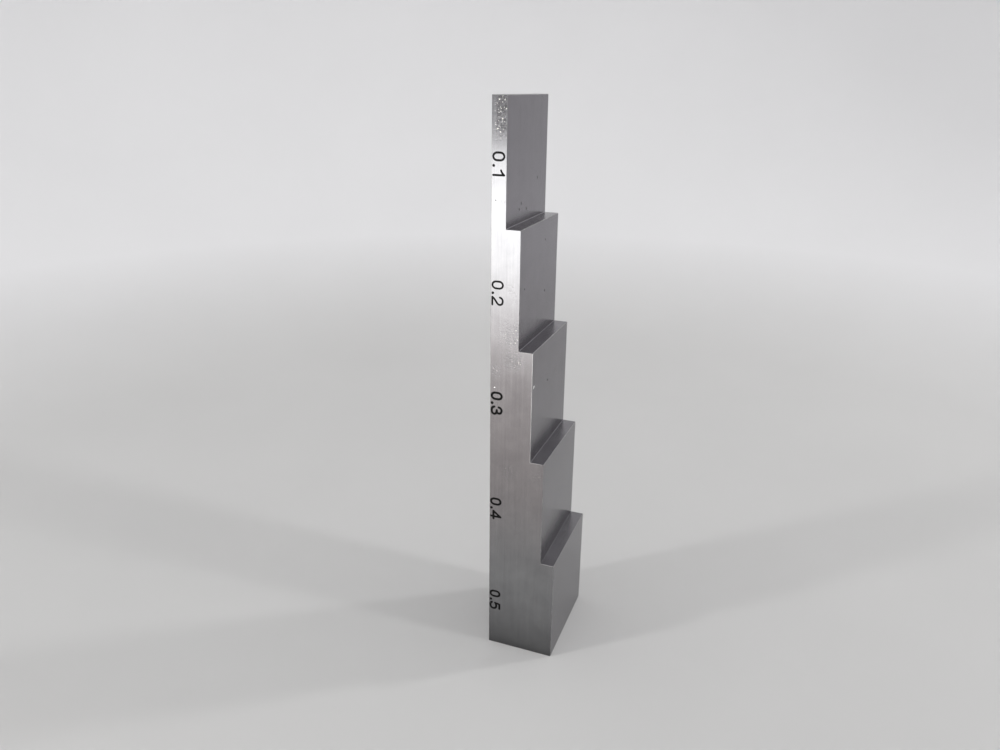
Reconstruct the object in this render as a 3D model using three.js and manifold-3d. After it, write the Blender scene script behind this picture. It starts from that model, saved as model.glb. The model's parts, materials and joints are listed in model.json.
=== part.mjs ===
// A step gauge block: one ground steel bar whose thickness grows in five equal steps, from 0.1 to
// 0.5 inch. It stands on its thick end. Each step carries its thickness as an engraved number,
// filled with black enamel, on one side face.
//
// Frame: millimetres, +Z up, origin at the centre of the standing end's bounding box. The flat
// datum face looks along -X, the steps look along +X, and the numbers are on the -Y side face.

import * as THREE from "three";
import { mergeVertices } from "three/addons/utils/BufferGeometryUtils.js";
import Module from "manifold-3d";

const wasm = await Module();
wasm.setup();

// ---- Driving dimensions, in millimetres ----

const inch = 25.4;
const stepCount = 5;
const stepRise = 0.1 * inch; // thickness that each step adds
const stepLength = 0.8 * inch; // height of each step
const barWidth = 0.8 * inch;
const cornerRadius = 0.15; // outer corners of the stepped outline
const filletRadius = 0.2; // inner corner under each step face
const sideBreak = 0.08; // edge break round both side faces
const outlineSegments = 2; // a quarter turn of the outline has twice as many facets

const capHeight = 2.2; // height of a character
const strokeWidths = [0.33, 0.33, 0.42, 0.42, 0.42]; // width of the cutter, for each number
const strokeInset = 0.175; // feet or top of a character to the middle of its strokes
const recessDepth = 0.15;
const enamelDepth = 0.12; // thickness of the enamel in the recess
const enamelSink = 0.02; // enamel surface below the steel
const enamelGap = 0.01; // clearance round the enamel
const markInset = 0.11; // datum face to the feet of the characters
const markDrops = [8.3, 8.45, 7.85, 8.4, 8.2]; // top of each step to the start of its number
const pointStart = 2.15; // start of the number to the middle of its point
const digitStart = 2.67; // start of the number to its last digit
const zeroWidth = 1.52;
const zeroSide = 0.5; // straight part of a zero's sides
const pointRadii = [0.23, 0.23, 0.27, 0.27, 0.27]; // for each number
const pointHeight = 0.25; // feet of the characters to the middle of the point
const strokeSegments = 8; // facets along each curve of a stroke
const endSegments = 8; // facets round the end of a stroke
const weldDistance = 1e-4; // vertices this close are one

const totalHeight = stepCount * stepLength;
const baseThickness = stepCount * stepRise;
const datumX = -baseThickness / 2;
const frontY = -barWidth / 2;

// ---- Materials ----

const groundSteel = new THREE.MeshStandardMaterial({
  name: "ground_steel",
  color: 0x8f8d8d,
  metalness: 1,
  roughness: 0.34,
});
const blackEnamel = new THREE.MeshStandardMaterial({
  name: "black_enamel",
  color: 0x151515,
  metalness: 0,
  roughness: 0.6,
});

// ---- Solids ----

// A closed geometry as a manifold solid.
function solidOf(geometry) {
  geometry.deleteAttribute("normal");
  geometry.deleteAttribute("uv");
  const merged = mergeVertices(geometry, weldDistance);
  return new wasm.Manifold(
    new wasm.Mesh({
      numProp: 3,
      vertProperties: merged.attributes.position.array,
      triVerts: new Uint32Array(merged.index.array),
    }),
  );
}

// A manifold solid as a geometry.
function geometryOf(solid) {
  const mesh = solid.getMesh();
  const geometry = new THREE.BufferGeometry();
  geometry.setAttribute("position", new THREE.BufferAttribute(mesh.vertProperties, 3));
  geometry.setIndex(new THREE.BufferAttribute(mesh.triVerts, 1));
  geometry.computeVertexNormals();
  return geometry;
}

// A flat shape made solid between two heights.
function prism(shape, bottom, top) {
  const depth = top - bottom;
  const geometry = new THREE.ExtrudeGeometry(shape, {
    depth,
    bevelEnabled: false,
    curveSegments: strokeSegments,
  });
  return solidOf(geometry.translate(0, 0, bottom));
}

// ---- The stepped bar ----

// The corners of the bar's outline, seen from the number side: along the base, then up the
// steps, then back to the datum face. A corner turns outwards or inwards.
function outlineCorners() {
  const corners = [
    { x: datumX, z: 0, radius: cornerRadius },
    { x: -datumX, z: 0, radius: cornerRadius },
  ];
  for (let step = stepCount; step >= 1; step--) {
    const top = (stepCount + 1 - step) * stepLength;
    corners.push({ x: datumX + step * stepRise, z: top, radius: cornerRadius });
    if (step > 1) {
      corners.push({ x: datumX + (step - 1) * stepRise, z: top, radius: filletRadius });
    }
  }
  corners.push({ x: datumX, z: totalHeight, radius: cornerRadius });
  return corners;
}

// A closed outline of straight sides that meet at right angles, with every corner rounded.
function roundedOutline(corners) {
  const shape = new THREE.Shape();
  corners.forEach((corner, i) => {
    const before = corners.at(i - 1);
    const after = corners[(i + 1) % corners.length];
    const point = new THREE.Vector2(corner.x, corner.z);
    const arriving = point.clone().sub(new THREE.Vector2(before.x, before.z)).normalize();
    const leaving = new THREE.Vector2(after.x, after.z).sub(point).normalize();
    const centre = leaving.clone().sub(arriving).multiplyScalar(corner.radius).add(point);
    const startAngle = Math.atan2(-leaving.y, -leaving.x);
    const endAngle = Math.atan2(arriving.y, arriving.x);
    const clockwise = arriving.cross(leaving) < 0;
    shape.absarc(centre.x, centre.y, corner.radius, startAngle, endAngle, clockwise);
  });
  return shape;
}

function steppedBar() {
  const geometry = new THREE.ExtrudeGeometry(roundedOutline(outlineCorners()), {
    depth: barWidth - 2 * sideBreak,
    curveSegments: outlineSegments,
    bevelThickness: sideBreak,
    bevelSize: sideBreak,
    bevelOffset: -sideBreak,
    bevelSegments: 1,
  });
  geometry.rotateX(Math.PI / 2);
  geometry.translate(0, barWidth / 2 - sideBreak, 0);
  return solidOf(geometry);
}

// ---- Characters ----
// A character lies in its own XY plane, with its feet on Y = 0 and its left edge near X = 0.
// A round cutter follows its strokes. A wider cutter runs along the same middle lines.

const low = strokeInset;
const high = capHeight - strokeInset;

// A cutter's path: a start point, then a straight line or a curve to each further point.
function stroke(startX, startY) {
  return new THREE.Path().moveTo(startX, startY);
}

const digitStrokes = {
  one: [
    stroke(0.93, low).lineTo(0.93, high),
    stroke(0.93, high).quadraticCurveTo(0.66, 1.66, 0.2, 1.5),
  ],
  two: [
    stroke(0.18, 1.5)
      .bezierCurveTo(0.24, 1.86, 0.5, high, 0.82, high)
      .bezierCurveTo(1.18, high, 1.44, 1.8, 1.44, 1.46)
      .bezierCurveTo(1.44, 0.95, 0.42, 0.72, 0.17, low),
    stroke(0.17, low).lineTo(1.48, low),
  ],
  three: [
    stroke(0.2, 1.5)
      .bezierCurveTo(0.26, 1.84, 0.48, high, 0.78, high)
      .bezierCurveTo(1.12, high, 1.36, 1.82, 1.36, 1.55)
      .bezierCurveTo(1.36, 1.27, 1.14, 1.13, 0.76, 1.13),
    stroke(0.76, 1.13)
      .bezierCurveTo(1.24, 1.13, 1.5, 0.95, 1.5, 0.66)
      .bezierCurveTo(1.5, 0.34, 1.22, low, 0.84, low)
      .bezierCurveTo(0.48, low, 0.22, 0.34, 0.15, 0.66),
  ],
  four: [
    stroke(1.22, low).lineTo(1.22, high),
    stroke(1.22, high).lineTo(0.12, 0.66),
    stroke(0.12, 0.66).lineTo(1.7, 0.66),
  ],
  five: [
    stroke(1.42, high).lineTo(0.4, high),
    stroke(0.4, high).lineTo(0.24, 1.14),
    stroke(0.24, 1.14)
      .bezierCurveTo(0.42, 1.32, 0.62, 1.38, 0.86, 1.38)
      .bezierCurveTo(1.24, 1.38, 1.52, 1.14, 1.52, 0.77)
      .bezierCurveTo(1.52, 0.4, 1.22, low, 0.84, low)
      .bezierCurveTo(0.5, low, 0.26, 0.26, 0.17, 0.48),
  ],
};

// The outline of the slot that a round cutter leaves along a path.
function slotShape(path, width) {
  const line = path.getPoints(strokeSegments);
  const last = line.length - 1;
  const sideways = line.map((point, i) => {
    const along = line[Math.min(i + 1, last)].clone().sub(line[Math.max(i - 1, 0)]).normalize();
    return new THREE.Vector2(-along.y, along.x).multiplyScalar(width / 2);
  });
  const left = line.map((point, i) => point.clone().add(sideways[i]));
  const right = line.map((point, i) => point.clone().sub(sideways[i]));
  return new THREE.Shape([
    ...left,
    ...roundEnd(line[last], sideways[last]),
    ...right.reverse(),
    ...roundEnd(line[0], sideways[0].clone().negate()),
  ]);
}

// The points between the two corners of a slot's end, on a half circle.
function roundEnd(centre, firstCorner) {
  const points = [];
  for (let i = 1; i < endSegments; i++) {
    const corner = firstCorner.clone().add(centre);
    points.push(corner.rotateAround(centre, (-Math.PI * i) / endSegments));
  }
  return points;
}

// An upright loop with straight sides and half ellipses at its ends.
function loopShape(inset) {
  const loop = new THREE.Shape();
  const middleX = zeroWidth / 2;
  const radiusX = zeroWidth / 2 - inset;
  const radiusY = (capHeight - zeroSide) / 2 - inset;
  const sideTop = (capHeight + zeroSide) / 2;
  const sideBottom = (capHeight - zeroSide) / 2;
  loop.absellipse(middleX, sideTop, radiusX, radiusY, 0, Math.PI);
  loop.absellipse(middleX, sideBottom, radiusX, radiusY, Math.PI, 2 * Math.PI);
  return loop;
}

function zeroSolid(width, bottom, top) {
  const ring = loopShape(strokeInset - width / 2);
  ring.holes.push(loopShape(strokeInset + width / 2));
  return prism(ring, bottom, top);
}

function pointSolid(width, bottom, top) {
  const disc = new THREE.Shape();
  disc.absarc(0, pointHeight, width / 2, 0, 2 * Math.PI);
  return prism(disc, bottom, top);
}

function digitSolid(digit, width, bottom, top) {
  const slots = digitStrokes[digit].map((path) => prism(slotShape(path, width), bottom, top));
  return wasm.Manifold.union(slots);
}

// ---- Numbers ----

// The three characters of a number: where each starts along the line, its width and its solid.
function numberCharacters(digit, strokeWidth, pointRadius) {
  return [
    { name: "zero", start: 0, width: strokeWidth, solid: zeroSolid },
    { name: "point", start: pointStart, width: 2 * pointRadius, solid: pointSolid },
    {
      name: digit,
      start: digitStart,
      width: strokeWidth,
      solid: (...size) => digitSolid(digit, ...size),
    },
  ];
}

// A number reads from the top of its step downwards, with its feet along the datum face.
const readingFrame = new THREE.Matrix4().makeBasis(
  new THREE.Vector3(0, 0, -1),
  new THREE.Vector3(1, 0, 0),
  new THREE.Vector3(0, -1, 0),
);

const gauge = new THREE.Group();
let bar = steppedBar();

Object.keys(digitStrokes).forEach((digit, i) => {
  const number = new THREE.Group();
  const stepTop = totalHeight - i * stepLength;
  number.quaternion.setFromRotationMatrix(readingFrame);
  number.position.set(datumX + markInset, frontY, stepTop - markDrops[i]);
  gauge.add(number);

  for (const character of numberCharacters(digit, strokeWidths[i], pointRadii[i])) {
    const enamelWidth = character.width - 2 * enamelGap;
    const enamel = character.solid(enamelWidth, -enamelSink - enamelDepth, -enamelSink);
    const mesh = new THREE.Mesh(geometryOf(enamel), blackEnamel);
    mesh.name = `mark_0.${i + 1}_${character.name}`;
    mesh.position.x = character.start;
    number.add(mesh);

    mesh.updateWorldMatrix(true, false);
    const recess = character.solid(character.width, -recessDepth, recessDepth);
    bar = bar.subtract(recess.transform(mesh.matrixWorld.elements));
  }
});

const block = new THREE.Mesh(geometryOf(bar), groundSteel);
block.name = "gauge_block";
gauge.add(block);

export default gauge;
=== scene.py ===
"""Looks for the step gauge block: a finely finished mesh of the ground steel bar, its enamelled
numbers, a pale stage, soft light and the camera. Lengths are metres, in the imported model's frame:
+Z up the bar, -Y out of the numbered side, +X out of the step faces."""

import json
import math
import random

import bmesh
import bpy
from mathutils import Matrix, Vector, noise

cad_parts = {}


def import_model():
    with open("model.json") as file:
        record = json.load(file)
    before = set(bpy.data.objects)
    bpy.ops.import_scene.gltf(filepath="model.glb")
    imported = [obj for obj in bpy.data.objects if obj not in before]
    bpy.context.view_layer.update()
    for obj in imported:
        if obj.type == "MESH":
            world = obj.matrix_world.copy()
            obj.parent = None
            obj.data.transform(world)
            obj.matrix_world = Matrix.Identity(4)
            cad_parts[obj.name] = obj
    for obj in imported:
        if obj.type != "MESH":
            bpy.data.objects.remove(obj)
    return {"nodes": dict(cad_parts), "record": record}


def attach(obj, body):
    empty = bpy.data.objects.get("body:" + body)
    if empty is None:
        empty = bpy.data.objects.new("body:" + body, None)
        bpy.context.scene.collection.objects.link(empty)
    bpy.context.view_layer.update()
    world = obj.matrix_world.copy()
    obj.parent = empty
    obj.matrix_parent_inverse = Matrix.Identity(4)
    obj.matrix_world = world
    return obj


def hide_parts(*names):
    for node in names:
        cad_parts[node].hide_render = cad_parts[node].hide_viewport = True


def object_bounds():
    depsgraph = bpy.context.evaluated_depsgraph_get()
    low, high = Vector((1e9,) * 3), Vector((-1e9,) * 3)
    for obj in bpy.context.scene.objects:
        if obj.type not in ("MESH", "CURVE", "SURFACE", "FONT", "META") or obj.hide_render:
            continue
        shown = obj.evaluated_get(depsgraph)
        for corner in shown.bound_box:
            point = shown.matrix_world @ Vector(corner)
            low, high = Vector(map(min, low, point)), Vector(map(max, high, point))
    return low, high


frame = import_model()
cad_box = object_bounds()

MM = 0.001
LOW, HIGH = cad_box
STEP_FACES = [m for m in frame["record"]["mounts"] if m["name"].startswith("step_face")]
STEP_COUNT = len(STEP_FACES)
STEP_RISE = (HIGH.x - LOW.x) / STEP_COUNT
STEP_LENGTH = (HIGH.z - LOW.z) / STEP_COUNT
BLOCK = "gauge_block"
MARKS = sorted(name for name in frame["nodes"] if name.startswith("mark_"))

# ---- Shape of the finished steel, where the mesh is finer than the CAD solid ----

CORNER_RADIUS = 0.12 * MM  # outer corners of the stepped outline
BASE_RADIUS = 0.06 * MM  # the two corners it stands on
# Inner corner above each ledge, from the top
FILLET_RADII = (0.12 * MM, 0.12 * MM, 0.1 * MM, 0.04 * MM)
ARC_SEGMENTS = 8
SIDE_BREAK = 0.05 * MM  # edge break round both side faces
BREAK_VARIATION = 0.7  # share by which a hand-stoned edge break varies
BREAK_WAVE = 3 * MM  # length over which it varies
BREAK_SHIFT = 7.3  # waves by which the two sides' breaks are out of step
BREAK_SEGMENTS = 4
PAINTED_HIGHLIGHT_STEP = 3  # the step whose face's edge on the numbered side gets a painted highlight from the bright nick material
GRID_SPACING = 1.0 * MM
RECESS_DEPTH = 0.15 * MM
RECESS_GAP = 0.01 * MM  # clearance round the enamel
WELD_DISTANCE = 0.001 * MM  # vertices this close are one

# Wear is placed on a step by its number and by its drop below the top of that step.
# (step, distance from the numbered side, drop, half width, half length) of marks in a step face
STEP_PITS = [
    (1, 7.1 * MM, 17.1 * MM, 0.16 * MM, 0.3 * MM),
    (1, 6.2 * MM, 17.9 * MM, 0.18 * MM, 0.34 * MM),
    (1, 9.7 * MM, 18.2 * MM, 0.16 * MM, 0.28 * MM),
    (1, 15.4 * MM, 13.7 * MM, 0.14 * MM, 0.3 * MM),
    (2, 2.4 * MM, 10.1 * MM, 0.25 * MM, 0.17 * MM),
    (2, 13.4 * MM, 12.8 * MM, 0.3 * MM, 0.22 * MM),
    (2, 13.1 * MM, 3.6 * MM, 0.16 * MM, 0.14 * MM),
    (3, 8.8 * MM, 7.8 * MM, 0.3 * MM, 0.18 * MM),
]
STEP_NICKS = [(3, 1.0 * MM, 6.4 * MM, 0.42 * MM, 0.27 * MM)]
# (step, distance from the datum face, drop, half width, half length) of marks in the numbered side
NUMBER_PITS = [(1, 0.75 * MM, 15.8 * MM, 0.1 * MM, 0.1 * MM)]
NUMBER_NICKS = [(3, 0.8 * MM, 7.05 * MM, 0.14 * MM, 0.08 * MM)]
MARK_DEPTH = 0.03 * MM

# A lumpy pebble cuts each dent.
PEBBLE_SUBDIVISIONS = 3
PEBBLE_LUMPS = 0.5  # how far its outline strays from an ellipse
LUMP_RATE = 1.3  # waves of its lumps in one radius
PEBBLE_TURN = Matrix.Rotation(0.5, 3, Vector((1, 2, 3)))  # keeps its corners off the surface
PEBBLE_LIFT = 0.3  # share of a mark's depth by which its middle lies outside the surface

STRAY_NICKS = 12  # small nicks at seeded places along the edges
STRAY_SIZES = (0.05 * MM, 0.1 * MM)
STRAY_STRETCH = (1.0, 3.0)  # their length over their width
STRAY_ON_LEDGES = 0.5  # share of them on a ledge's outer edge
STRAY_CLEAR = 0.1  # share of an edge that has none, at its ends
STRAY_SEED = 11

FACING = 0.7  # share of a normal along an axis above which a face looks that way
FLAT_SIDE = 0.9999  # the same for a face that lies in a flat side
SHARP_ANGLE = math.radians(40)  # edges that turn more than this stay sharp
FLAT_WEIGHT = 100  # how far large faces outweigh small ones in the shading, at most 100
GRAIN_MAP = "grain"

GROUND, WORN, ENAMEL, NICK_AND_GLINT, PIT = range(5)  # material slots of the bar


# ---- Small helpers ----


def new_object(name, mesh):
    obj = bpy.data.objects.new(name, mesh)
    bpy.context.scene.collection.objects.link(obj)
    return obj


def mesh_from_bmesh(name, bm):
    mesh = bpy.data.meshes.new(name)
    bm.to_mesh(mesh)
    bm.free()
    return mesh


def apply_modifiers(obj):
    """Replaces the object's mesh by the result of its modifiers."""
    graph = bpy.context.evaluated_depsgraph_get()
    made = bpy.data.meshes.new_from_object(obj.evaluated_get(graph), depsgraph=graph)
    made.name = obj.data.name
    obj.modifiers.clear()
    obj.data = made


def set_materials(mesh, materials):
    """Gives the mesh these material slots in place of its own."""
    if mesh.materials:  # a clear sends every face back to the first slot, even without slots
        mesh.materials.clear()
    for material in materials:
        mesh.materials.append(material)


def spaced(start, end, spacing):
    """Numbers from start to end, both left out, about one spacing apart."""
    count = max(1, round(abs(end - start) / spacing))
    return [start + (end - start) * i / count for i in range(1, count)]


def step_face_x(step):
    return LOW.x + step * STEP_RISE


def step_top(step):
    return HIGH.z - (step - 1) * STEP_LENGTH


# ---- The steel bar ----


def outline_corners():
    """The stepped outline's corners as (x, z, radius), anticlockwise seen from the numbered side."""
    corners = [(LOW.x, LOW.z, BASE_RADIUS), (HIGH.x, LOW.z, BASE_RADIUS)]
    for step in range(STEP_COUNT, 0, -1):
        corners.append((step_face_x(step), step_top(step), CORNER_RADIUS))
        if step > 1:
            corners.append((step_face_x(step - 1), step_top(step), FILLET_RADII[step - 2]))
    corners.append((LOW.x, HIGH.z, CORNER_RADIUS))
    return corners


def outline_points():
    """The outline as (point, outward normal, on an outer corner) in the XZ plane."""
    corners = outline_corners()
    points = []
    for i, (x, z, radius) in enumerate(corners):
        here = Vector((x, z))
        before = Vector(corners[i - 1][:2])
        *next_corner, next_radius = corners[(i + 1) % len(corners)]
        after = Vector(next_corner)
        arriving = (here - before).normalized()
        leaving = (after - here).normalized()
        convex = arriving.cross(leaving) > 0
        centre = here + (leaving - arriving) * radius
        for k in range(ARC_SEGMENTS + 1):
            turn = math.pi / 2 * k / ARC_SEGMENTS
            spoke = -leaving * math.cos(turn) + arriving * math.sin(turn)
            points.append((centre + spoke * radius, spoke if convex else -spoke, convex))
        flat_end = (after - here).length - next_radius
        normal = Vector((leaving.y, -leaving.x))
        for along in spaced(radius, flat_end, GRID_SPACING):
            points.append((here + leaving * along, normal, False))
    return points


def edge_break(point, side):
    """Width of the hand-stoned break at an outline point, on the numbered or the plain side."""
    wave = noise.noise(Vector((point.x, side * BREAK_SHIFT * BREAK_WAVE, point.y)) / BREAK_WAVE)
    return SIDE_BREAK * (1 + BREAK_VARIATION * wave)


def on_painted_highlight_face(point):
    """Whether an outline point belongs to the step face whose edge gets the painted highlight."""
    on_face = abs(point.x - step_face_x(PAINTED_HIGHLIGHT_STEP)) < CORNER_RADIUS / 2
    return on_face and step_top(PAINTED_HIGHLIGHT_STEP + 1) < point.y < step_top(PAINTED_HIGHLIGHT_STEP)


def bar_row(bm, outline, y, inset):
    """One closed row of vertices. Functions of a point give its y and how far inside it lies."""
    row = []
    for point, normal, _ in outline:
        shifted = point - normal * inset(point)
        row.append(bm.verts.new((shifted.x, y(point), shifted.y)))
    return row


def broken_rows(bm, outline, side, face_y, inward):
    """The rows round one side face's edge, from the face inwards."""
    rows = []
    for k in range(BREAK_SEGMENTS + 1):
        turn = math.pi / 2 * k / BREAK_SEGMENTS
        depth = inward * (1 - math.cos(turn))
        inset = 1 - math.sin(turn)
        rows.append(
            bar_row(
                bm,
                outline,
                lambda p: face_y + depth * edge_break(p, side),
                lambda p: inset * edge_break(p, side),
            )
        )
    return rows


def bar_mesh():
    """The bar as a closed grid of quads with rounded edges and a flat polygon on each side."""
    outline = outline_points()
    bright = [on_painted_highlight_face(point) for point, _, _ in outline]
    bm = bmesh.new()
    near_rows = broken_rows(bm, outline, 0, LOW.y, 1)
    far_rows = broken_rows(bm, outline, 1, HIGH.y, -1)
    rows = list(near_rows)
    for y in spaced(LOW.y + SIDE_BREAK, HIGH.y - SIDE_BREAK, GRID_SPACING):
        rows.append(bar_row(bm, outline, lambda p: y, lambda p: 0))
    rows += reversed(far_rows)
    for j, (near, far) in enumerate(zip(rows, rows[1:])):
        near_break = j < BREAK_SEGMENTS
        far_break = j >= len(rows) - 1 - BREAK_SEGMENTS
        for i in range(len(outline)):
            face = bm.faces.new((near[i - 1], near[i], far[i], far[i - 1]))
            on_corner = outline[i - 1][2] and outline[i][2]
            # Painted highlight: this face's break on the numbered side takes the bright nick material
            if near_break and bright[i - 1] and bright[i]:
                face.material_index = NICK_AND_GLINT
            elif near_break or far_break or on_corner:
                face.material_index = WORN
            else:
                face.material_index = GROUND
    bm.faces.new(rows[0])
    bm.faces.new(reversed(rows[-1]))
    bmesh.ops.recalc_face_normals(bm, faces=bm.faces)
    return mesh_from_bmesh("gauge_bar_mesh", bm)


def recess_cutter():
    """Every character's recess: its enamel, grown by the gap and deepened."""
    bm = bmesh.new()
    for name in MARKS:
        bm.from_mesh(frame["nodes"][name].data)
    bmesh.ops.remove_doubles(bm, verts=bm.verts, dist=WELD_DISTANCE)
    bm.normal_update()
    middle_y = LOW.y + RECESS_DEPTH / 2
    moved = {}
    for vert in bm.verts:
        walls = [f.normal for f in vert.link_faces if abs(f.normal.y) < FACING]
        outward = sum(walls, Vector()).normalized()
        target = vert.co + outward * RECESS_GAP
        target.y = LOW.y + RECESS_DEPTH if vert.co.y > middle_y else LOW.y - RECESS_DEPTH
        moved[vert] = target
    for vert, target in moved.items():
        vert.co = target
    for face in bm.faces:
        face.material_index = ENAMEL
    return mesh_from_bmesh("recess_cutter_mesh", bm)


def dent(bm, centre, half_size, kind):
    """Adds a lumpy pebble that cuts a nick or a pit round a point of the surface."""
    made = bmesh.ops.create_icosphere(bm, subdivisions=PEBBLE_SUBDIVISIONS, radius=1)["verts"]
    for vert in made:
        spoke = PEBBLE_TURN @ vert.co
        lump = 1 + PEBBLE_LUMPS * noise.noise(spoke * LUMP_RATE + centre / MM)
        vert.co = centre + spoke * Vector(half_size) * lump
    for face in {f for vert in made for f in vert.link_faces}:
        face.material_index = kind


def stray_nicks(bm):
    """Small nicks on the ledges' outer edges and on the plain side's upright edges."""
    places = random.Random(STRAY_SEED)
    for _ in range(STRAY_NICKS):
        step = places.randint(1, STEP_COUNT)
        radius = places.uniform(*STRAY_SIZES)
        length = radius * places.uniform(*STRAY_STRETCH)
        if places.random() < STRAY_ON_LEDGES:
            y = places.uniform(LOW.y, HIGH.y) * (1 - STRAY_CLEAR)
            centre = Vector((step_face_x(step), y, step_top(step)))
            dent(bm, centre, (radius, length, radius), NICK_AND_GLINT)
        else:
            x = places.choice((LOW.x, step_face_x(step)))
            z = step_top(step) - STEP_LENGTH * places.uniform(STRAY_CLEAR, 1 - STRAY_CLEAR)
            dent(bm, Vector((x, HIGH.y, z)), (radius, radius, length), NICK_AND_GLINT)


def wear_cutter():
    """Every nick and pit."""
    bm = bmesh.new()
    lift = PEBBLE_LIFT * MARK_DEPTH
    for marks, kind in ((STEP_PITS, PIT), (STEP_NICKS, NICK_AND_GLINT)):
        for step, across, drop, half_width, half_length in marks:
            centre = Vector((step_face_x(step) + lift, LOW.y + across, step_top(step) - drop))
            dent(bm, centre, (MARK_DEPTH, half_width, half_length), kind)
    for marks, kind in ((NUMBER_PITS, PIT), (NUMBER_NICKS, NICK_AND_GLINT)):
        for step, across, drop, half_width, half_length in marks:
            centre = Vector((LOW.x + across, LOW.y - lift, step_top(step) - drop))
            dent(bm, centre, (half_width, MARK_DEPTH, half_length), kind)
    stray_nicks(bm)
    return mesh_from_bmesh("wear_cutter_mesh", bm)


def cut_away(obj, name, mesh, materials):
    """Cuts a mesh out of the object. The cut faces keep the cutter's materials."""
    set_materials(mesh, materials)
    cutter = new_object(name, mesh)
    cut = obj.modifiers.new(name, "BOOLEAN")
    cut.operation = "DIFFERENCE"
    cut.solver = "EXACT"
    cut.object = cutter
    apply_modifiers(obj)
    bpy.data.objects.remove(cutter)


def box_map(mesh):
    """UVs in metres: U runs across the grain and V along it, on every face of the bar."""
    layer = mesh.uv_layers.new(name=GRAIN_MAP)
    for face in mesh.polygons:
        n = face.normal
        for i in face.loop_indices:
            co = mesh.vertices[mesh.loops[i].vertex_index].co
            if abs(n.z) > FACING:
                uv = (co.x, co.y)
            elif abs(n.x) > abs(n.y):
                uv = (co.y, co.z)
            else:
                uv = (co.x, co.z)
            layer.data[i].uv = uv


def surface_kind(face):
    """Faces of one kind shade smoothly into each other: a recess or dent, a flat side or the rest."""
    if face.material_index in (GROUND, WORN):
        return "side" if abs(face.normal.y) > FLAT_SIDE else "rest"
    return face.material_index


def sharpen_rims(mesh):
    """Marks every edge between two kinds of surface as sharp."""
    kinds = {}
    for face in mesh.polygons:
        for key in face.edge_keys:
            kinds.setdefault(key, set()).add(surface_kind(face))
    for edge in mesh.edges:
        if len(kinds[edge.key]) > 1:
            edge.use_edge_sharp = True


def steel_bar(materials):
    """The finished bar, in place of the CAD block."""
    bar = new_object("ground_steel_bar", bar_mesh())
    set_materials(bar.data, materials)
    cut_away(bar, "recess_cutter", recess_cutter(), materials)
    cut_away(bar, "wear_cutter", wear_cutter(), materials)
    for face in bar.data.polygons:
        face.use_smooth = True
    bar.data.set_sharp_from_angle(angle=SHARP_ANGLE)
    sharpen_rims(bar.data)
    weighted = bar.modifiers.new("flat faces stay flat", "WEIGHTED_NORMAL")
    weighted.keep_sharp = True
    weighted.weight = FLAT_WEIGHT
    apply_modifiers(bar)
    box_map(bar.data)
    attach(bar, "root")
    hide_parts(BLOCK)


# ---- Materials ----

# Depths in this section are millimetres, for the bump node.
WHITE = (1, 1, 1, 1)

# Ground steel. A pair of levels says where, in a noise or a mask, a feature begins and is complete.
STEEL_DARK = (0.224, 0.218, 0.231, 1)
STEEL_LIGHT = (0.284, 0.277, 0.291, 1)
STEEL_ROUGHNESS = (0.23, 0.27)  # of the dark and of the light steel
STEEL_ANISOTROPY = 0.65
TONE_LEVELS = (0.36, 0.64)
GRAIN_TONE, BAND_TONE, SMEAR_TONE = 0.25, 0.25, 0.5  # their shares of the steel's tone
GRAIN_WIDTH, GRAIN_LENGTH = 0.1 * MM, 9 * MM  # lines left by the grinding wheel
GRAIN_DEPTH = 0.0012
BAND_WIDTH, BAND_LENGTH = 0.5 * MM, 25 * MM  # broader lines, where a wheel's pass was heavier
SMEAR_SIZE = 4 * MM

SCRATCH_WIDTH, SCRATCH_LENGTH = 0.035 * MM, 7 * MM
SCRATCH_TILTS = (0.08, -0.2, 0.6)  # radians from upright
SCRATCH_LEVELS = (0.74, 0.79)
SCRATCH_DEPTH = 0.0012

PAINTED_UPPER_SHADE = (0.85, 0.83, 0.86, 1)  # painted shade: what is left of the steel's own colour towards the top, off the numbered side
PAINTED_SHADE_HEIGHTS = (30 * MM, 65 * MM)  # where it begins and where it is complete

PIT_SIZE = 0.3 * MM
PIT_COLOR = (0.06, 0.058, 0.062, 1)
PIT_LEVELS = (0.5, 0.64)
PIT_DEPTH = 0.025
STAIN_LEVELS = (0.42, 0.56)  # the pits' dark colour spreads past their rims
STAIN_STRENGTH = 0.75

PATCH_SIZE = 3.5 * MM  # faintly pitted patches all over
PATCH_LEVELS = (0.6, 0.72)
PATCH_STRENGTH = 0.3
TOP_PATCH = (8 * MM, 4.8 * MM)  # below the top, where its pitting begins and is complete
TOP_PATCH_EDGE = (0.3 * MM, 0.9 * MM)  # the same, from the datum face
PITTED_SPOTS = [  # (step, distance from the datum face, drop, radius), on the numbered side
    (2, 4.3 * MM, 17.6 * MM, 2.6 * MM),
    (3, 0.8 * MM, 3.9 * MM, 1.1 * MM),
    (3, 4.4 * MM, 1.6 * MM, 2.0 * MM),
    (4, 3.7 * MM, 2.6 * MM, 1.6 * MM),
    (4, 9.3 * MM, 3.0 * MM, 1.7 * MM),
]
SPOT_STRENGTH = 0.5
SPOT_FADE, SPOT_END = 0.5, 1.5  # in radii, where a spot starts to fade and where it ends

SPECK_SPACING = 0.3 * MM  # painted glints: bright specks among the pits that stand in for pits catching the light
GLINT_SPECK_COLOR = (0.85, 0.83, 0.8, 1)
SPECK_GAPS = 0.35  # share of the places that hold none
SPECK_RADII = (0.1, 0.42)  # in spacings, of the smallest and of the largest
SPECK_LEVELS = (0.2, 0.8)
SPECK_GROWTH_LEVELS = (0.3, 1.0)
SPECK_GROWTH = (0.48, 1.2)  # factors of their radius where it is least and where it is most pitted
SPECK_CORE = 0.7  # share of a speck's radius that doesn't fade

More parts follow.
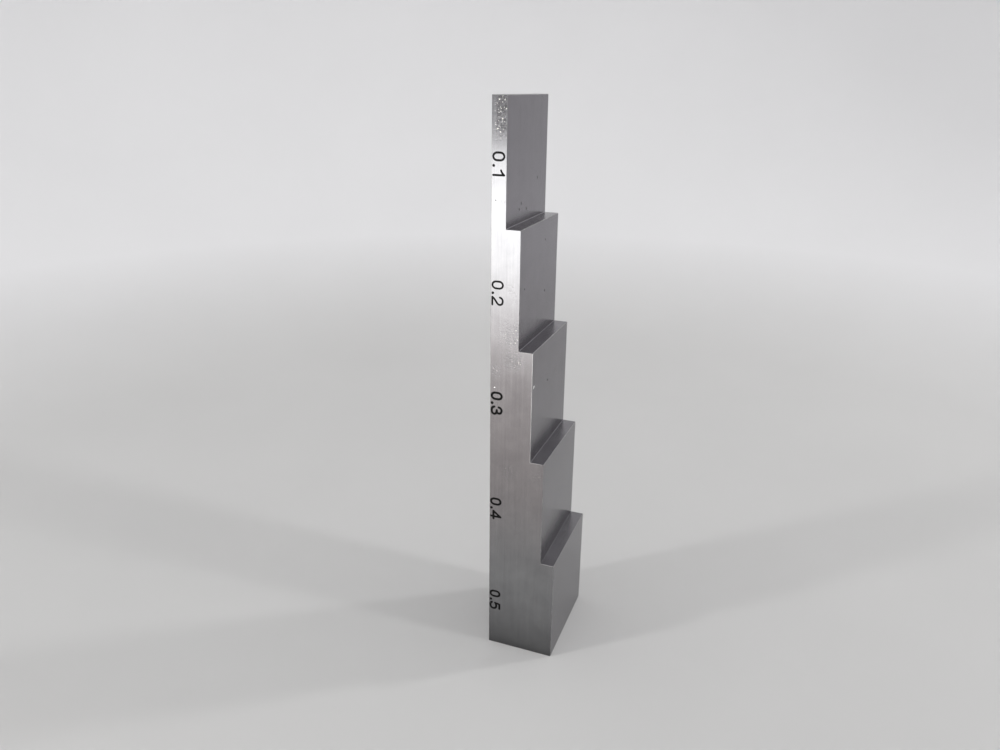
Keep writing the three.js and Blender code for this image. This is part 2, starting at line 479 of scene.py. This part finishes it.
# The other steels and the enamel have one mottle each. It mixes their two colours, and between
# its two levels their roughness changes.
MOTTLE_LEVELS = (0.3, 0.7)
ROUGHNESS_SPREAD = 0.15  # share by which a plain steel's roughness varies
PLAIN_STEELS = {  # name: (dark, light, roughness, size of the mottle, its depth)
    "worn_edge": ((0.25, 0.245, 0.25, 1), (0.38, 0.373, 0.38, 1), 0.28, 0.5 * MM, 0.001),
    # The nicks' colour is partly real bare metal and partly a painted glint: far lighter than the
    # ground steel
    "bare_nick_and_glint": ((0.75, 0.75, 0.75, 1), (0.95, 0.95, 0.95, 1), 0.36, 0.1 * MM, 0.006),
    "dark_pit": ((0.05, 0.05, 0.052, 1), (0.12, 0.115, 0.11, 1), 0.5, 0.1 * MM, 0.004),
}
ENAMEL_DARK = (0.0015, 0.0015, 0.0015, 1)
ENAMEL_LIGHT = (0.006, 0.006, 0.006, 1)
ENAMEL_MOTTLE = 0.25 * MM
ENAMEL_ROUGHNESS = (0.55, 0.75)
ENAMEL_SPECULAR = 0.12
ENAMEL_DEPTH = 0.008


class Nodes:
    """Adds nodes to a material. A value given as a node's output is linked, any other is set."""

    def __init__(self, name):
        self.material = bpy.data.materials.new(name)
        self.material.use_nodes = True
        self.tree = self.material.node_tree
        self.tree.nodes.clear()

    def add(self, kind, inputs=None, **settings):
        node = self.tree.nodes.new("ShaderNode" + kind)
        for key, value in settings.items():
            setattr(node, key, value)
        for key, value in (inputs or {}).items():
            self.give(node.inputs[key], value)
        return node

    def give(self, socket, value):
        if isinstance(value, bpy.types.NodeSocket):
            self.tree.links.new(value, socket)
        else:
            socket.default_value = value

    def math(self, operation, a, b=0.0):
        return self.add("Math", {0: a, 1: b}, operation=operation).outputs[0]

    def total(self, *values):
        result = values[0]
        for value in values[1:]:
            result = self.math("ADD", result, value)
        return result

    def product(self, *values):
        result = values[0]
        for value in values[1:]:
            result = self.math("MULTIPLY", result, value)
        return result

    def place(self):
        return self.add("TexCoord").outputs["Object"]

    def axes(self, vector):
        return self.add("SeparateXYZ", {0: vector}).outputs

    def noise(self, vector, scale=1.0, detail=2.0, rough=0.5):
        inputs = {"Vector": vector, "Scale": scale, "Detail": detail, "Roughness": rough}
        return self.add("TexNoise", inputs).outputs["Fac"]

    def cells(self, vector, scale):
        """The distance to the nearest cell's middle, in cells, and that cell's random number."""
        node = self.add("TexVoronoi", {"Vector": vector, "Scale": scale})
        return node.outputs["Distance"], self.axes(node.outputs["Color"])["X"]

    def ramp(self, value, low, high, to_low=0.0, to_high=1.0, smooth=False):
        kind = "SMOOTHSTEP" if smooth else "LINEAR"
        inputs = {0: value, 1: low, 2: high, 3: to_low, 4: to_high}
        return self.add("MapRange", inputs, interpolation_type=kind, clamp=True).outputs[0]

    def profile(self, value, points):
        """A piecewise straight curve through (value, result) points."""
        result = points[0][1]
        for (x0, y0), (x1, y1) in zip(points, points[1:]):
            result = self.math("ADD", self.ramp(value, x0, x1, 0.0, y1 - y0), result)
        return result

    def mix(self, factor, a, b):
        node = self.add("Mix", data_type="RGBA")
        for key, value in (("Factor", factor), ("A", a), ("B", b)):
            socket = [s for s in node.inputs if s.name == key and s.enabled][0]
            self.give(socket, value)
        return [s for s in node.outputs if s.enabled][0]

    def stretched(self, vector, x, y, z, turn=(0, 0, 0)):
        """The coordinates, turned and then divided by a feature length along each axis."""
        inputs = {"Vector": vector, "Rotation": turn}
        turned = self.add("VectorRotate", inputs, rotation_type="EULER_XYZ")
        inputs = {"Vector": turned.outputs[0], "Scale": (1 / x, 1 / y, 1 / z)}
        return self.add("Mapping", inputs).outputs["Vector"]

    def bump(self, height_mm):
        """A normal from a height in millimetres."""
        inputs = {"Strength": 1.0, "Distance": MM, "Height": height_mm}
        return self.add("Bump", inputs).outputs[0]

    def finish(self, shader):
        self.add("OutputMaterial", {"Surface": shader.outputs[0]})
        return self.material


def scratches(n, place):
    """Hairline scratches, each set of them with its own tilt."""
    found = 0.0
    for tilt in SCRATCH_TILTS:
        turn = (tilt, -tilt, 0)
        rods = n.stretched(place, SCRATCH_WIDTH, SCRATCH_WIDTH, SCRATCH_LENGTH, turn)
        found = n.math("ADD", n.ramp(n.noise(rods, detail=0.0), *SCRATCH_LEVELS), found)
    return found


def pittedness(n, place, on_numbers):
    """How pitted the steel is: in patches all over, at the numbered side's top and in its spots."""
    axes = n.axes(place)
    patches = n.ramp(n.noise(place, 1 / PATCH_SIZE), *PATCH_LEVELS)
    top = n.ramp(axes["Z"], *(HIGH.z - drop for drop in TOP_PATCH))
    off_edge = n.ramp(n.math("SUBTRACT", axes["X"], LOW.x), *TOP_PATCH_EDGE)
    top_patch = n.product(top, on_numbers, off_edge)
    pitted = n.math("MAXIMUM", n.product(patches, PATCH_STRENGTH), top_patch)
    for step, across, drop, radius in PITTED_SPOTS:
        centre = Vector((LOW.x + across, LOW.y, step_top(step) - drop))
        away = n.add("VectorMath", {0: place, 1: centre}, operation="DISTANCE").outputs["Value"]
        spot = n.ramp(away, SPOT_FADE * radius, SPOT_END * radius, SPOT_STRENGTH, 0.0)
        pitted = n.math("MAXIMUM", pitted, spot)
    return pitted


def painted_glint_specks(n, place, pitted):
    """Painted glints: bright specks among the pits that stand in for pits catching the light, larger
    where the steel is more pitted.
    """
    from_middle, chance = n.cells(place, 1 / SPECK_SPACING)
    radius = n.ramp(chance, SPECK_GAPS, 1.0, *SPECK_RADII)
    reach = n.product(radius, n.ramp(pitted, *SPECK_GROWTH_LEVELS, *SPECK_GROWTH))
    return n.product(
        n.ramp(from_middle, n.product(reach, SPECK_CORE), reach, 1.0, 0.0),
        n.math("GREATER_THAN", chance, SPECK_GAPS),
        n.ramp(pitted, *SPECK_LEVELS),
    )


def ground_steel():
    """Surface-ground steel: lengthwise lines, hairline scratches, faint smears and patches of pits,
    with painted shade towards the top off the numbered side and painted glints among the pits.
    """
    n = Nodes("surface_ground_steel")
    place = n.place()
    normal = n.axes(n.add("NewGeometry").outputs["True Normal"])
    on_ledge = n.math("GREATER_THAN", n.math("ABSOLUTE", normal["Z"]), FACING)
    on_numbers = n.math("LESS_THAN", normal["Y"], -FACING)

    upright = n.stretched(place, GRAIN_WIDTH, GRAIN_WIDTH, GRAIN_LENGTH)
    crosswise = n.stretched(place, GRAIN_WIDTH, GRAIN_LENGTH, GRAIN_WIDTH)
    grain = n.noise(n.mix(on_ledge, upright, crosswise), detail=3.0, rough=0.6)
    bands = n.noise(n.stretched(place, BAND_WIDTH, BAND_WIDTH, BAND_LENGTH), detail=3.0)
    smear = n.noise(place, 1 / SMEAR_SIZE, detail=4.0, rough=0.6)
    tone = n.total(
        n.product(grain, GRAIN_TONE),
        n.product(bands, BAND_TONE),
        n.product(smear, SMEAR_TONE),
    )
    grit = n.noise(place, 1 / PIT_SIZE, detail=3.0, rough=0.65)
    pitted = pittedness(n, place, on_numbers)

    clean = n.mix(n.ramp(tone, *TONE_LEVELS), STEEL_DARK, STEEL_LIGHT)
    # Painted shade: darker towards the top, except on the numbered side
    upper_shade = n.ramp(n.axes(place)["Z"], *PAINTED_SHADE_HEIGHTS)
    upper_shade = n.product(upper_shade, n.math("SUBTRACT", 1.0, on_numbers))
    kept = n.mix(upper_shade, WHITE, PAINTED_UPPER_SHADE)
    steel = n.add("VectorMath", {0: clean, 1: kept}, operation="MULTIPLY").outputs["Vector"]
    stained = n.product(n.ramp(grit, *STAIN_LEVELS), pitted, pitted, STAIN_STRENGTH)
    steel = n.mix(stained, steel, PIT_COLOR)
    relief = n.total(
        n.product(grain, GRAIN_DEPTH),
        n.product(scratches(n, place), -SCRATCH_DEPTH),
        n.product(n.ramp(grit, *PIT_LEVELS, smooth=True), pitted, -PIT_DEPTH),
    )
    tangent = n.add("Tangent", direction_type="UV_MAP", uv_map=GRAIN_MAP)
    inputs = {
        # Painted glints over the steel's colour
        "Base Color": n.mix(painted_glint_specks(n, place, pitted), steel, GLINT_SPECK_COLOR),
        "Metallic": 1.0,
        "Roughness": n.ramp(tone, *TONE_LEVELS, *STEEL_ROUGHNESS),
        "Anisotropic": STEEL_ANISOTROPY,
        "Tangent": tangent.outputs[0],
        "Normal": n.bump(relief),
    }
    return n.finish(n.add("BsdfPrincipled", inputs))


def plain_steel(name, dark, light, roughness, mottle_size, depth_mm):
    """Steel without grain."""
    n = Nodes(name)
    mottle = n.noise(n.place(), 1 / mottle_size, detail=3.0, rough=0.6)
    smoothest = roughness * (1 - ROUGHNESS_SPREAD)
    roughest = roughness * (1 + ROUGHNESS_SPREAD)
    inputs = {
        "Base Color": n.mix(mottle, dark, light),
        "Metallic": 1.0,
        "Roughness": n.ramp(mottle, *MOTTLE_LEVELS, smoothest, roughest),
        "Normal": n.bump(n.product(mottle, depth_mm)),
    }
    return n.finish(n.add("BsdfPrincipled", inputs))


def black_enamel():
    """Matt black enamel, a little uneven and dusty."""
    n = Nodes("matt_black_enamel")
    mottle = n.noise(n.place(), 1 / ENAMEL_MOTTLE, detail=4.0, rough=0.6)
    inputs = {
        "Base Color": n.mix(mottle, ENAMEL_DARK, ENAMEL_LIGHT),
        "Roughness": n.ramp(mottle, *MOTTLE_LEVELS, *ENAMEL_ROUGHNESS),
        "Specular IOR Level": ENAMEL_SPECULAR,
        "Normal": n.bump(n.product(mottle, ENAMEL_DEPTH)),
    }
    return n.finish(n.add("BsdfPrincipled", inputs))


# ---- Stage ----

FLOOR_RADIUS = 170 * MM  # flat part of the stage
SWEEP_RADIUS = 200 * MM  # curve from the floor up to the wall
WALL_TOP = 750 * MM
STAGE_SIDES = 96
FLOOR_RINGS = 8
SWEEP_RINGS = 20
# Painted light: the wall's paper is lighter than the floor's, standing in for the wall being lit more
# brightly
FLOOR_TONES = ((0.64, 0.637, 0.63, 1), (0.69, 0.687, 0.68, 1))
WALL_TONES = ((0.87, 0.868, 0.875, 1), (0.91, 0.908, 0.915, 1))
WALL_TONE_HEIGHT = 30 * MM  # height at which the floor's tone has turned into the wall's
PAPER_MOTTLE = 60 * MM
PAPER_ROUGHNESS = 0.9


def stage_material():
    """Pale paper with a faint mottle, darker on the floor than on the wall. The wall's lighter tone is
    painted light.
    """
    n = Nodes("stage_paper")
    place = n.place()
    mottle = n.noise(place, 1 / PAPER_MOTTLE, detail=3.0)
    rise = n.ramp(n.axes(place)["Z"], 0.0, WALL_TONE_HEIGHT)
    inputs = {
        "Base Color": n.mix(rise, n.mix(mottle, *FLOOR_TONES), n.mix(mottle, *WALL_TONES)),
        "Roughness": PAPER_ROUGHNESS,
    }
    return n.finish(n.add("BsdfPrincipled", inputs))


def stage_profile():
    """The stage's section as (distance from the middle, height) points, without its middle."""
    profile = [(FLOOR_RADIUS * i / FLOOR_RINGS, 0.0) for i in range(1, FLOOR_RINGS + 1)]
    for i in range(1, SWEEP_RINGS + 1):
        turn = math.pi / 2 * i / SWEEP_RINGS
        out = FLOOR_RADIUS + SWEEP_RADIUS * math.sin(turn)
        profile.append((out, SWEEP_RADIUS * (1 - math.cos(turn))))
    profile.append((FLOOR_RADIUS + SWEEP_RADIUS, WALL_TOP))
    return profile


def stage_mesh():
    bm = bmesh.new()
    middle = bm.verts.new((0, 0, 0))
    rings = []
    for out, up in stage_profile():
        ring = []
        for side in range(STAGE_SIDES):
            turn = 2 * math.pi * side / STAGE_SIDES
            ring.append(bm.verts.new((out * math.cos(turn), out * math.sin(turn), up)))
        rings.append(ring)
    for i in range(STAGE_SIDES):
        bm.faces.new((middle, rings[0][i - 1], rings[0][i]))
        for inner, outer in zip(rings, rings[1:]):
            bm.faces.new((inner[i - 1], outer[i - 1], outer[i], inner[i]))
    return mesh_from_bmesh("stage_floor_mesh", bm)


def stage():
    """A round floor that curves up into a wall on every side. Lamps shine in through it."""
    floor = new_object("stage_floor", stage_mesh())
    for face in floor.data.polygons:
        face.use_smooth = True
    floor.visible_shadow = False
    set_materials(floor.data, [stage_material()])


# ---- Light ----

# Each lamp's direction from the block, in degrees from +X
LAMP_DIRECTIONS = {"front_left_lamp": 221, "right_lamp": 0, "back_right_lamp": 35}
LAMP_RISE = math.radians(33)  # a lamp's angle above the floor, seen from the block's foot
LAMP_DISTANCE = 800 * MM
LAMP_SIZE = 70 * MM
LAMP_POWER = 1.0
SOFTBOX_HEIGHT = 1900 * MM
SOFTBOX_SIZE = 1800 * MM
SOFTBOX_POWER = 5.8
AMBIENT = 0.1  # strength of the even light from all sides

# The panel is painted light: a glowing sheet, not a lamp, that lies on the floor in front of the
# numbered side and then stands up. Only reflections see it. Its dim part near the block paints shade
# at the block's foot;
# its bright upright part paints the numbered side's highlight.
PANEL_REACH = 100 * MM  # from the numbered side to the upright part
PANEL_GAP = 0.03 * MM  # to the numbered side and to the floor
PANEL_TOP = 88 * MM
PANEL_TOP_FADE = 4 * MM
PANEL_LEFT = -220 * MM
PANEL_RIGHT = 40 * MM
PANEL_FADE = 30 * MM  # width over which its ends fade out
# Painted shade near the block, painted highlight further out: the glow's strength along the panel
PANEL_GLOW = [  # (distance along the panel from the block, strength)
    (0.1 * MM, 0.21),
    (2 * MM, 0.32),
    (12 * MM, 0.56),
    (40 * MM, 0.74),
    (100 * MM, 1.0),
    (117 * MM, 1.33),
    (131 * MM, 2.3),
    (162 * MM, 4.6),
]
# The warm colour paints a warm tint into the numbered side's reflection
PANEL_COOL = (0.99, 1.01, 0.975, 1)
PANEL_WARM = (1, 0.945, 0.9, 1)
# (distance along the panel, share of the warm colour)
PANEL_WARMTH = [(25 * MM, 0.0), (55 * MM, 1.0), (115 * MM, 1.0), (150 * MM, 0.0)]


def area_light(name, at, aim, size, power):
    data = bpy.data.lights.new(name, "AREA")
    data.shape = "DISK"
    data.size = size
    data.energy = power
    light = new_object(name, data)
    light.location = at
    light.rotation_euler = (aim - at).to_track_quat("-Z", "Y").to_euler()


def lights():
    """A large soft box overhead and three lamps, each of which lays one soft shadow."""
    middle = Vector((0, 0, 0))
    area_light("softbox", Vector((0, 0, SOFTBOX_HEIGHT)), middle, SOFTBOX_SIZE, SOFTBOX_POWER)
    flat = LAMP_DISTANCE * math.cos(LAMP_RISE)
    height = LAMP_DISTANCE * math.sin(LAMP_RISE)
    for name, direction in LAMP_DIRECTIONS.items():
        turn = math.radians(direction)
        at = Vector((flat * math.cos(turn), flat * math.sin(turn), height))
        area_light(name, at, middle, LAMP_SIZE, LAMP_POWER)


def panel_material():
    """A glow that changes along the panel and fades out at its two ends and at its top."""
    n = Nodes("painted_reflection_panel")
    x, y, z = (n.axes(n.place())[axis] for axis in "XYZ")
    along = n.total(n.math("SUBTRACT", LOW.y, y), z)
    inputs = {
        "Color": n.mix(n.profile(along, PANEL_WARMTH), PANEL_COOL, PANEL_WARM),
        "Strength": n.profile(along, PANEL_GLOW),
    }
    glow = n.add("Emission", inputs)
    shown = n.product(
        n.ramp(x, PANEL_LEFT, PANEL_LEFT + PANEL_FADE, smooth=True),
        n.ramp(x, PANEL_RIGHT - PANEL_FADE, PANEL_RIGHT, 1.0, 0.0, smooth=True),
        n.ramp(z, PANEL_TOP - PANEL_TOP_FADE, PANEL_TOP, 1.0, 0.0, smooth=True),
    )
    clear = n.add("BsdfTransparent")
    return n.finish(n.add("MixShader", {0: shown, 1: clear.outputs[0], 2: glow.outputs[0]}))


def panel_mesh():
    """Two rectangles: one flat on the floor and one upright at its far edge."""
    bm = bmesh.new()
    far = LOW.y - PANEL_REACH
    section = [(LOW.y - PANEL_GAP, PANEL_GAP), (far, PANEL_GAP), (far, PANEL_TOP)]
    left = [bm.verts.new((PANEL_LEFT, y, z)) for y, z in section]
    right = [bm.verts.new((PANEL_RIGHT, y, z)) for y, z in section]
    for i in range(len(section) - 1):
        bm.faces.new((left[i], left[i + 1], right[i + 1], right[i]))
    return mesh_from_bmesh("reflected_panel_mesh", bm)


def painted_reflection_panel():
    """A glowing panel in front of the block: a painted reflection that gives the numbered side its
    highlight and the shade at its foot.
    """
    panel = new_object("painted_reflection_panel", panel_mesh())
    set_materials(panel.data, [panel_material()])
    panel.visible_camera = False
    panel.visible_diffuse = False
    panel.visible_shadow = False


def world():
    made = bpy.data.worlds.new("studio")
    made.use_nodes = True
    background = made.node_tree.nodes["Background"]
    background.inputs["Color"].default_value = WHITE
    background.inputs["Strength"].default_value = AMBIENT
    bpy.context.scene.world = made


# ---- Camera ----

CAMERA_AT = Vector((39.52, -126.17, 102.85)) * MM
CAMERA_AIM = Vector((-8.43, 0.0, 52.25)) * MM
CAMERA_ROLL = math.radians(0.59)
CAMERA_LENS, SENSOR_WIDTH = 27.79, 36  # millimetres, as the camera takes them
CLIP_START, CLIP_END = 0.01, 20


def camera():
    data = bpy.data.cameras.new("camera")
    data.lens = CAMERA_LENS
    data.sensor_width = SENSOR_WIDTH
    data.clip_start = CLIP_START
    data.clip_end = CLIP_END
    cam = new_object("camera", data)
    cam.location = CAMERA_AT
    turned = (CAMERA_AIM - CAMERA_AT).to_track_quat("-Z", "Y").to_matrix()
    cam.rotation_euler = (turned @ Matrix.Rotation(CAMERA_ROLL, 3, "Z")).to_euler()
    bpy.context.scene.camera = cam


# ---- Put it together ----

camera()
stage()
lights()
painted_reflection_panel()
world()
bpy.context.scene.view_settings.view_transform = "Standard"

enamel = black_enamel()
worn, nick_and_glint, pit = (plain_steel(name, *look) for name, look in PLAIN_STEELS.items())
steel_bar([ground_steel(), worn, enamel, nick_and_glint, pit])
for mark in MARKS:
    set_materials(frame["nodes"][mark].data, [enamel])
